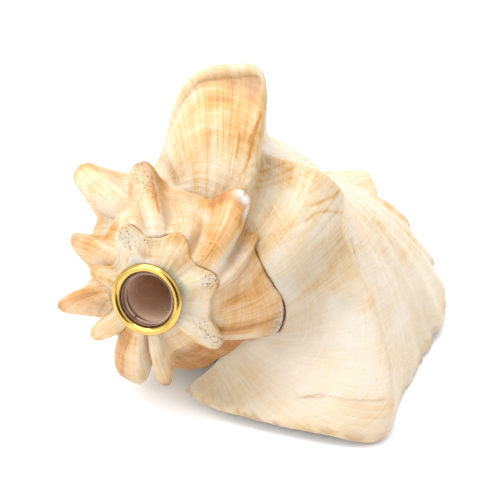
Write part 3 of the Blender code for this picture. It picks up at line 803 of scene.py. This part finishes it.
def neck_finish():
    """Inner wall of the neck, dark brown and dull, mottled by a noise in space."""
    f = Finish("dark neck", Metallic=0.2)
    mottle = f.noise(f.spot(), 300.0, 4.0, 0.6)
    colour = f.mix(f.step(mottle, 0.35, 0.65), NECK_DARK, NECK_PALE)
    return f.feed(Base_Color=colour, Roughness=f.step(mottle, 0.3, 0.7, 0.45, 0.65))


def stage_finish():
    """Matt pale floor."""
    f = Finish("pale floor", Roughness=0.9)
    tone = f.noise(f.spot(), 2.0, 1.0)
    return f.feed(Base_Color=f.mix(f.step(tone, 0.3, 0.7), *FLOOR_TONES))


shell_colours = shell_finish("old shell")
arc_turns = np.arange(-420.0, 960.0)
arc_lengths = np.cumsum(shoulder_radius(np.minimum(arc_turns, LAST_TURN))) * math.radians(1) * MM


def growth_turn(turn, across):
    """The turn at which a growth line through this point meets the shoulder."""
    ramp = np.clip(across / KEEL, 0, 1)
    return turn - KNOB_LAG * fade(turn, COIL_TURN, COIL_REACH) * (1 - ramp)


def patches(turn, across, marks):
    """Soft oval patches, each stretched along the growth lines: growth turn, place across, half widths
    along and across, strength."""
    grown = growth_turn(turn, across)
    total = 0 * grown
    for at, beside, half_turn, half_across, strength in marks:
        away = ((grown - at) / half_turn) ** 2 + ((across - beside) / half_across) ** 2
        total = np.maximum(total, strength * np.exp(-away ** 1.5))
    return total


def strokes(turn, across, lines):
    """Painted lines through points of turn and place across: strength times exp(-(distance/width)^2),
    with distances in millimetres on the whorl, and a width that wavers along the line."""
    total = 0 * turn + 0 * across
    for width, strength, points in lines:
        scale = math.radians(1) * float(shoulder_radius(np.float64(min(points[0][0], LAST_TURN))))
        wide = (0.5 + 0.5 * scale / 0.9) * ACROSS_SIZE
        nearest = np.full(total.shape, 1e9)
        for (t0, a0), (t1, a1) in zip(points, points[1:]):
            dx, dy = (t1 - t0) * scale, (a1 - a0) * wide
            px, py = (turn - t0) * scale, (across - a0) * wide
            share = np.clip((px * dx + py * dy) / (dx * dx + dy * dy), 0, 1)
            nearest = np.minimum(nearest, np.hypot(px - share * dx, py - share * dy))
        ragged = width * (1 + 0.5 * wander(turn * 0.9, across * 60, 83))
        total = np.maximum(total, strength * np.exp(-(nearest / ragged) ** 2))
    return total


def surface_values(turn, across):
    """What the finish reads at each point: metres along and beside the whorl, the tone, and masks. The
    tone and the brown mask are sums of the marks below, each times its share."""
    grown = growth_turn(turn, across)
    out, _ = knob_reach(grown)
    shoulder = np.exp(-((across - KEEL) / SHOULDER_WIDTH) ** 2)
    early = 1 - fade(turn, *EARLY_FADE)
    coloured = early * (1 - np.exp(-((turn - PLAIN_FADE[0]) / PLAIN_FADE[1]) ** 4))
    lip = fade(turn, *LIP_FADE)
    edge = fade(turn - margin_turn(across), *MARGIN_FADE) * lip
    tips = patches(turn, across, [(at, KEEL, *size_and_strength) for at, *size_and_strength in TIP_STAINS])
    marks = {"coloured": coloured, "lip": lip, "shoulder": shoulder * early, "edge": edge, "tips": tips,
             "flank": np.exp(-((out - FLANK_AT) / FLANK_AT) ** 2) * shoulder,
             "drift": wander(grown / 11, across * 12, 61),
             "side": fade(across, *SIDE_FADE) * fade(turn, *SIDE_FROM) * (1 - fade(turn, *SIDE_TO)),
             "honey": patches(turn, across, HONEY_PATCHES), "peach": patches(turn, across, PEACH_PATCHES),
             "amber": patches(turn, across, AMBER_PATCHES), "lines": strokes(turn, across, AMBER_LINES)}
    at_suture = fade(turn, COIL_TURN, COIL_REACH) * (1 - fade(turn, *SUTURE_TO))
    browns = {"tips": tips ** 2, "suture": np.exp(-(across / SUTURE_WIDTH) ** 2) * at_suture,
              "specks": edge * ease((wander(grown * 0.8, across * 55, 71) + 0.1) / 0.6)}
    umber = patches(turn, across, UMBER_PATCHES) + strokes(turn, across, UMBER_LINES)
    # Mask of the gap's dark red-brown, partly painted shade
    gap = np.exp(-(across / GAP_SHADE_WIDTH) ** 4) * fade(turn, *GAP_FROM) * (1 - fade(turn, *GAP_TO))
    radius = shoulder_radius(np.clip(grown, FIRST_TURN, LAST_TURN))
    values = {"grey": patches(turn, across, GREY_PATCHES), "chalk": patches(turn, across, CHALK_PATCHES),
              "pitted": patches(turn, across, PITTED_PATCHES),
              # Mask of the ring's painted shadow
              "verdigris": patches(turn, across, VERDIGRIS_SHADOW_PATCHES),
              "umber": umber + sum(share * browns[key] for key, share in UMBER_SHARES.items()),
              "peach": 0.15 + 0.75 * coloured + 0.3 * wander(grown / 17, across * 9, 41)}
    values = {key: np.clip(value, 0, 1) for key, value in values.items()}
    values["tone"] = TONE_GROUND + sum(share * marks[key] for key, share in TONE_SHARES.items())
    values["along"] = np.interp(grown, arc_turns, arc_lengths)
    values["beside"] = across * 3.0 * radius * MM
    values["pale"], values["gap"] = lip, gap
    return values


def chipped(turn, across):
    """The wing's margin drawn back in uneven steps, as where its edge has worn away: in each step the cut
    is the square of the share of the step that is left, plus noise."""
    step = (across * CHIP_STEPS + 0.35 * wander(across * 9, 0 * across, 57)) % 1
    cut = CHIP_SIZE * (1 - step) ** 2 + CHIP_RAGGED * np.abs(wander(across * 70, 0 * across, 59))
    on_wing = fade(across, WING_ACROSS[0], 0.05) * (1 - fade(across, WING_ACROSS[1], 0.06))
    cut = cut * on_wing + CHIP_GRAIN * layered(across * 60, 0 * across, 91, 2) * ease(across / 0.05)
    return turn - np.maximum(cut, 0) * fade(turn, LAST_TURN - CHIP_REACH, CHIP_REACH)


def outer_grid(turns, across, knobs=True):
    """The outer wall as a grid of points, its outward normals, and the turn, radius and depth at each
    point. The grid is worked out one row wider at both ends, so that neighbouring pieces agree."""
    wide_turns = np.concatenate([[turns[0] - 0.5], turns, [turns[-1] + 0.5]])[:, None]
    wide_across = np.concatenate([[across[0] - 0.004], across, [across[-1] + 0.004]])
    turn, radius, depth = shell_wall(chipped(wide_turns, wide_across[None]), wide_across[None], knobs)
    points = rounded(place(turn, radius, depth), wide_across)
    inner = (slice(1, -1), slice(1, -1))
    return points[inner], outward(points)[inner], turn[inner], radius[inner], depth[inner]


def solid_band(name, turns, across):
    """A band of the inner whorls, closed by a wall round the bore."""
    plain, out, turn, radius, depth = outer_grid(turns, across)
    outer = plain + out * relief(turn, across[None])[..., None] * MM
    share = np.linspace(0, 1, len(across))[None]
    depth_in = depth[:, :1] + (depth[:, -1:] - depth[:, :1]) * share
    hole = bore_radius(np.maximum(depth_in, BORE[0][0]))
    inner = place(turn, np.minimum(hole, radius * BORE_SHARE), depth_in)
    values = {key: (value, value) for key, value in surface_values(turn, across[None]).items()}
    values["inside"] = values["bore"] = (np.zeros(1), np.ones(1))
    # On the bore the brown mask is the painted shade of its top edge
    values["umber"] = (values["umber"][0], 1 - fade(depth_in, BORE_EDGE_DEPTH, BORE_EDGE_FADE))
    add_grid(name, outer, inner, values)


def wall_band(name, turns, across):
    """A band of the hollow last whorl: the outer wall with knobs, and the inner wall without them at
    one wall thickness. At the lip margin the two meet in a rounded edge."""
    full, out, turn, radius, depth = outer_grid(turns, across)
    outer = full + out * relief(turn, across[None])[..., None] * MM
    plain, side = outer_grid(turns, across, knobs=False)[:2]
    to_margin = LAST_TURN - np.broadcast_to(turns[:, None], turn.shape)
    edge = np.clip(to_margin / EDGE_ROUND, 0, 1)
    thick = (np.sqrt(1 - (1 - edge) ** 2) * (1 - EDGE_THIN) + EDGE_THIN)[..., None]
    middle = 0.5 * (outer + plain - side * WALL * MM)
    outer = middle + (outer - middle) * thick
    inner = middle + (plain - side * WALL * MM - middle) * thick
    values = {key: (value, value) for key, value in surface_values(turn, across[None]).items()}
    values["inside"] = (np.zeros(1), ease(to_margin / LINING_FADE))
    add_grid(name, outer, inner, values)


# Inner whorls, the last whorl and the flared lip
solid_band("spire_tip", np.linspace(FIRST_TURN, SPIRE_MEETING, 380), np.linspace(0, SOLID_ACROSS, 96))
solid_band("spire_middle", np.linspace(SPIRE_MEETING, MIDDLE_END, 440), np.linspace(0, SOLID_ACROSS, 104))
solid_band("inner_wall", np.linspace(MIDDLE_END, INNER_END, 170), np.linspace(0, 1, 260))
wall_band("body_shoulder", np.linspace(BODY_START, FLARE_TURN, 380), np.linspace(0, BODY_ACROSS, 120))
wall_band("body_side", np.linspace(BODY_START, FLARE_TURN, 300), np.linspace(BODY_ACROSS, 1, 130))
edge_turns = LAST_TURN - EDGE_ROUND * np.cos(np.linspace(0, math.pi / 2, 14))[1:]
lip_turns = np.concatenate([np.linspace(FLARE_TURN, LAST_TURN - EDGE_ROUND, 200), edge_turns])
wall_band("lip_shoulder", lip_turns, np.linspace(0, LIP_ACROSS, 170))
wall_band("lip_wing", lip_turns, np.linspace(LIP_ACROSS, 1, 200))

# Mouthpiece ring: a round brass rim whose profile is most of a circle and a foot on the neck, and the
# neck, dark brown inside
rim_angles = np.linspace(math.radians(RIM_ANGLES[0]), math.radians(RIM_ANGLES[1]), RIM_POINTS)
rim = [(RIM_RADIUS + RIM_THICKNESS * math.cos(a), -RIM_THICKNESS * math.sin(a)) for a in rim_angles]
rim += [(NECK_OUTER, NECK_SEAT), (NECK_OUTER + RIM_FOOT[0], RIM_FOOT[1])]
neck = [(NECK_INNER, NECK_START), (NECK_INNER, NECK_END), (NECK_OUTER, NECK_END), (NECK_OUTER, NECK_START)]
turned("mouthpiece_ring_polished", rim, 160, brass_finish(), "mouthpiece_ring")
turned("mouthpiece_ring_neck", neck, 120, neck_finish(), "mouthpiece_ring", smooth=False)

# Floor, light and camera
floor_points = np.array([(-1, -1, 0), (1, -1, 0), (1, 1, 0), (-1, 1, 0)], float) * FLOOR_REACH
floor = mesh_piece("floor", floor_points, np.array([[0, 1, 2, 3]]), [False], stage_finish())


def studio_world():
    """White light from all round. For each side listed, the cosine between it and the way looked is mapped
    to a strength, and the strengths are multiplied."""
    world = bpy.data.worlds.new("studio")
    world.use_nodes = True
    tree = world.node_tree
    background = tree.nodes["Background"]
    background.inputs["Color"].default_value = (1.0, 1.0, 1.0, 1.0)
    way = tree.nodes.new("ShaderNodeTexCoord")
    strength = tree.nodes.new("ShaderNodeMath")
    strength.operation = "MULTIPLY"
    for k, (side, blend, levels) in enumerate(SURROUNDINGS):
        cosine = tree.nodes.new("ShaderNodeVectorMath")
        cosine.operation = "DOT_PRODUCT"
        cosine.inputs[1].default_value = side
        level = tree.nodes.new("ShaderNodeMapRange")
        level.interpolation_type = blend
        for key, value in zip(("From Min", "From Max", "To Min", "To Max"), levels):
            level.inputs[key].default_value = value
        tree.links.new(way.outputs["Generated"], cosine.inputs[0])
        tree.links.new(cosine.outputs["Value"], level.inputs["Value"])
        tree.links.new(level.outputs["Result"], strength.inputs[k])
    tree.links.new(strength.outputs["Value"], background.inputs["Strength"])
    bpy.context.scene.world = world


def soft_light(name, at, size, power):
    """A square soft light that faces the object."""
    lamp = bpy.data.lights.new(name, "AREA")
    lamp.energy, lamp.size = power, size
    light = bpy.data.objects.new(name, lamp)
    bpy.context.scene.collection.objects.link(light)
    light.location = at
    light.rotation_mode = "QUATERNION"
    light.rotation_quaternion = (Vector(LAMPS_TOWARDS) - Vector(at)).to_track_quat("-Z", "Y")


studio_world()
for lamp_name, (lamp_at, lamp_size, lamp_power) in LAMPS.items():
    soft_light(lamp_name, lamp_at, lamp_size, lamp_power)

azimuth, elevation = math.radians(AZIMUTH), math.radians(ELEVATION)
back = Vector((math.sin(azimuth) * math.cos(elevation), -math.cos(azimuth) * math.cos(elevation),
               math.sin(elevation)))
right = Vector((math.cos(azimuth), math.sin(azimuth), 0))
above = back.cross(right)
view = bpy.data.cameras.new("camera")
view.lens, view.sensor_width = LENS, 36.0
view.clip_start, view.clip_end = 0.05, 20.0
camera = bpy.data.objects.new("camera", view)
bpy.context.scene.collection.objects.link(camera)
camera.matrix_world = Matrix((right, above, back)).transposed().to_4x4()
camera.location = Vector(MOUTH_AT) * MM + Vector(CAMERA_FROM_MOUTH)
bpy.context.scene.camera = camera
bpy.context.scene.view_settings.view_transform = "Standard"
